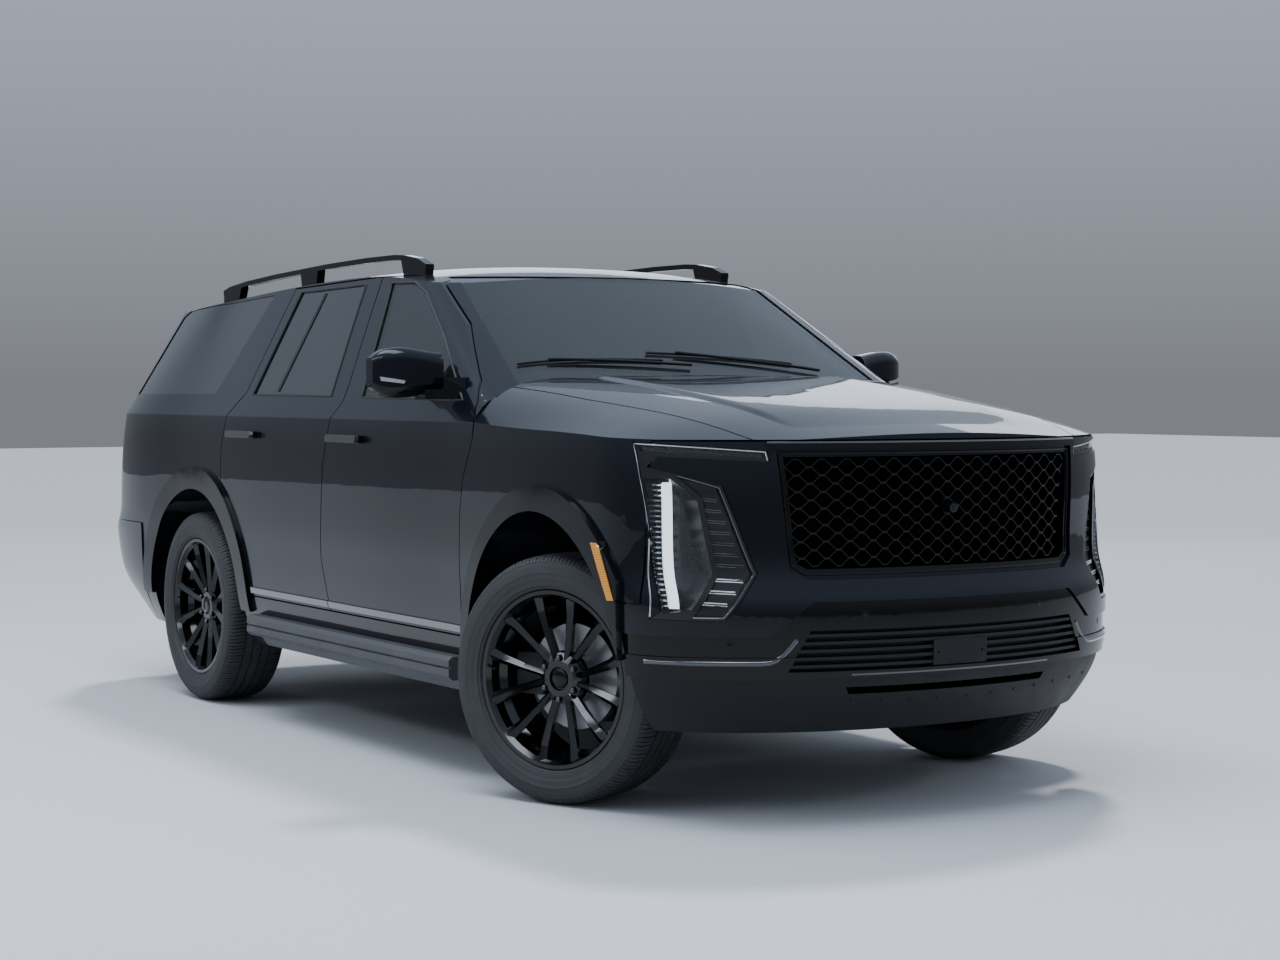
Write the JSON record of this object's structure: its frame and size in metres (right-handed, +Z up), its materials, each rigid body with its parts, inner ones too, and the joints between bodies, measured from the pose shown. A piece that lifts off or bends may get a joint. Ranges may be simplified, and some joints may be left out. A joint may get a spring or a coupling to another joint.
{
  "type": "full-size three-row suv",
  "caption": "Full-size luxury suv with hollow cabin, opening doors, hood and liftgate, steered front wheels, mesh grille and turned front wheels as parked.",
  "frame": {"origin": "on the ground plane under the middle of the car, at the bottom centre of its bounding box", "axes": "+X to the nose, +Y to the left side of the car, +Z up"},
  "size_m": [5.3775, 2.37, 1.91],
  "materials": {
    "body_paint": "gloss black-blue",
    "gloss_trim": "gloss black",
    "satin_plastic": "satin",
    "lamp_black": "gloss",
    "lamp_lens": "clear",
    "tail_lens": "gloss red",
    "tinted_glass": "tinted",
    "dark_glass": "privacy tint",
    "grey_plastic": "grained",
    "chassis_metal": "satin black",
    "engine_metal": "cast",
    "exhaust_steel": "satin",
    "seat_leather": "satin",
    "cabin_plastic": "matte",
    "rim_paint": "gloss black",
    "tyre_rubber": "matte"
  },
  "bodies": {
    "body": {"body_shell": "body_paint", "front_fenders": "body_paint", "front_bumper": "body_paint", "rear_bumper": "body_paint", "flares": "gloss_trim", "roof_rails": "gloss_trim", "grille": "gloss_trim", "lower_grille": "satin_plastic", "headlights": "lamp_black", "headlight_lenses": "lamp_lens", "tail_lamps": "tail_lens", "windshield": "tinted_glass", "quarter_glass": "dark_glass", "running_boards": "grey_plastic", "frame": "chassis_metal", "engine": "engine_metal", "suspension": "chassis_metal", "exhaust": "exhaust_steel", "front_seats": "seat_leather", "rear_seats": "seat_leather", "dashboard": "cabin_plastic", "steering_wheel": "cabin_plastic"},
    "hood": {"hood": "body_paint"},
    "liftgate": {"liftgate": "body_paint", "rear_glass": "dark_glass"},
    "door_front_left": {"door_front_left": "body_paint", "glass_front_left": "tinted_glass", "mirror_left": "body_paint"},
    "door_rear_left": {"door_rear_left": "body_paint", "glass_rear_left": "dark_glass"},
    "knuckle_left": {"knuckle_left": "chassis_metal"},
    "wheel_front_left": {"rim_front_left": "rim_paint", "tyre_front_left": "tyre_rubber"},
    "wheel_rear_left": {"rim_rear_left": "rim_paint", "tyre_rear_left": "tyre_rubber"},
    "door_front_right": {"door_front_right": "body_paint", "glass_front_right": "tinted_glass", "mirror_right": "body_paint"},
    "door_rear_right": {"door_rear_right": "body_paint", "glass_rear_right": "dark_glass"},
    "knuckle_right": {"knuckle_right": "chassis_metal"},
    "wheel_front_right": {"rim_front_right": "rim_paint", "tyre_front_right": "tyre_rubber"},
    "wheel_rear_right": {"rim_rear_right": "rim_paint", "tyre_rear_right": "tyre_rubber"}
  },
  "joints": [
    {"name": "steer_left", "type": "hinge", "parent": "body", "child": "knuckle_left", "pos_m": [1.676, 0.78, 0.417], "axis": [0, 0, 1], "range_deg": [-57, 13]},
    {"name": "front_left_wheel_roll", "type": "hinge", "parent": "knuckle_left", "child": "wheel_front_left", "pos_m": [1.64266, 0.86252, 0.417], "axis": [-0.3746, 0.9272, 0], "continuous": true},
    {"name": "rear_left_wheel_roll", "type": "hinge", "parent": "body", "child": "wheel_rear_left", "pos_m": [-1.395, 0.869, 0.417], "axis": [0, 1, 0], "continuous": true},
    {"name": "front_left_door_hinge", "type": "hinge", "parent": "body", "child": "door_front_left", "pos_m": [1.268, 0.99, 0.9], "axis": [0, 0, -1], "range_deg": [0, 65]},
    {"name": "rear_left_door_hinge", "type": "hinge", "parent": "body", "child": "door_rear_left", "pos_m": [0.128, 0.99, 0.9], "axis": [0, 0, -1], "range_deg": [0, 65]},
    {"name": "steer_right", "type": "hinge", "parent": "body", "child": "knuckle_right", "pos_m": [1.676, -0.78, 0.417], "axis": [0, 0, 1], "range_deg": [-57, 13]},
    {"name": "front_right_wheel_roll", "type": "hinge", "parent": "knuckle_right", "child": "wheel_front_right", "pos_m": [1.70934, -0.86252, 0.417], "axis": [-0.3746, 0.9272, 0], "continuous": true},
    {"name": "rear_right_wheel_roll", "type": "hinge", "parent": "body", "child": "wheel_rear_right", "pos_m": [-1.395, -0.869, 0.417], "axis": [0, 1, 0], "continuous": true},
    {"name": "front_right_door_hinge", "type": "hinge", "parent": "body", "child": "door_front_right", "pos_m": [1.268, -0.99, 0.9], "axis": [0, 0, 1], "range_deg": [0, 65]},
    {"name": "rear_right_door_hinge", "type": "hinge", "parent": "body", "child": "door_rear_right", "pos_m": [0.128, -0.99, 0.9], "axis": [0, 0, 1], "range_deg": [0, 65]},
    {"name": "hood_hinge", "type": "hinge", "parent": "body", "child": "hood", "pos_m": [1.142, 0, 1.4], "axis": [0, -1, 0], "range_deg": [0, 55]},
    {"name": "liftgate_hinge", "type": "hinge", "parent": "body", "child": "liftgate", "pos_m": [-1.94, 0, 1.775], "axis": [0, 1, 0], "range_deg": [0, 85]}
  ],
  "couplings": [
    {"joint": "steer_right", "follows": "steer_left", "ratio": 1}
  ]
}
